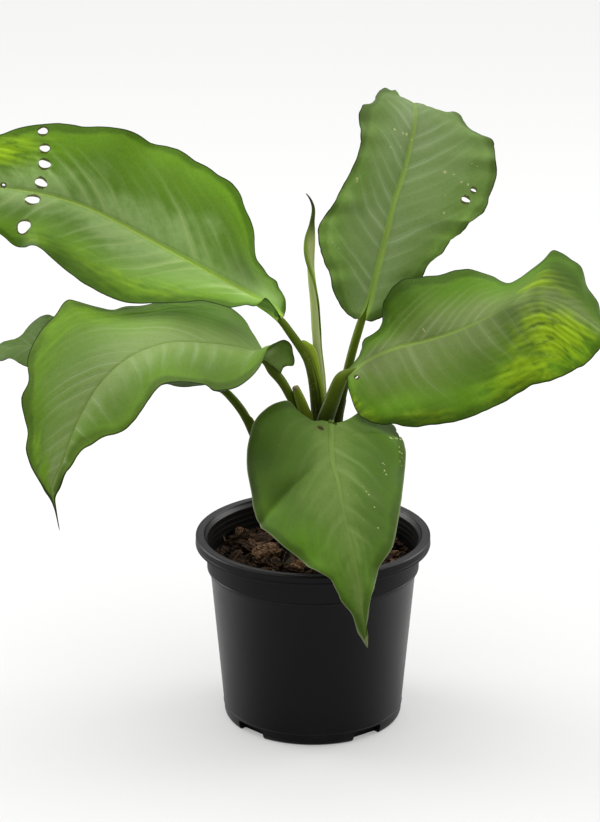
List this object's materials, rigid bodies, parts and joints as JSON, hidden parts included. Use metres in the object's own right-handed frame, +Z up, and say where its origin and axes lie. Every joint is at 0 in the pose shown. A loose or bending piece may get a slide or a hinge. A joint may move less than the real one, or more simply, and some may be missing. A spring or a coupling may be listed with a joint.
{
  "type": "potted peace lily",
  "caption": "Broad-leaved houseplant with arching stalks, a rolled new leaf and a cut stalk stump, rooted in bark mix in a round plastic nursery pot.",
  "frame": {"origin": "middle of the pot's underside, on the surface that the pot stands on", "axes": "+Z up along the pot's axis, +X to the right as the plant is seen from its front, -Y towards the front"},
  "size_m": [0.447, 0.303, 0.3891],
  "materials": {
    "pot_plastic": "satin",
    "bark_mix": "matte",
    "rootstock": "matte",
    "leaf_dark": "satin",
    "leaf_mid": "satin",
    "leaf_light": "satin",
    "stalk": "satin",
    "rolled_leaf": "satin"
  },
  "bodies": {
    "root": {"pot": "pot_plastic", "soil": "bark_mix", "rootstock": "rootstock", "blade_upper_left": "leaf_mid", "blade_upper_right": "leaf_dark", "blade_right": "leaf_light", "blade_front": "leaf_mid", "blade_left": "leaf_dark", "blade_back_left": "leaf_mid", "stalk_upper_left": "stalk", "stalk_upper_right": "stalk", "stalk_right": "stalk", "stalk_front": "stalk", "stalk_left": "stalk", "stalk_back_left": "stalk", "rolled_leaf": "rolled_leaf", "cut_stalk": "stalk"}
  },
  "joints": []
}
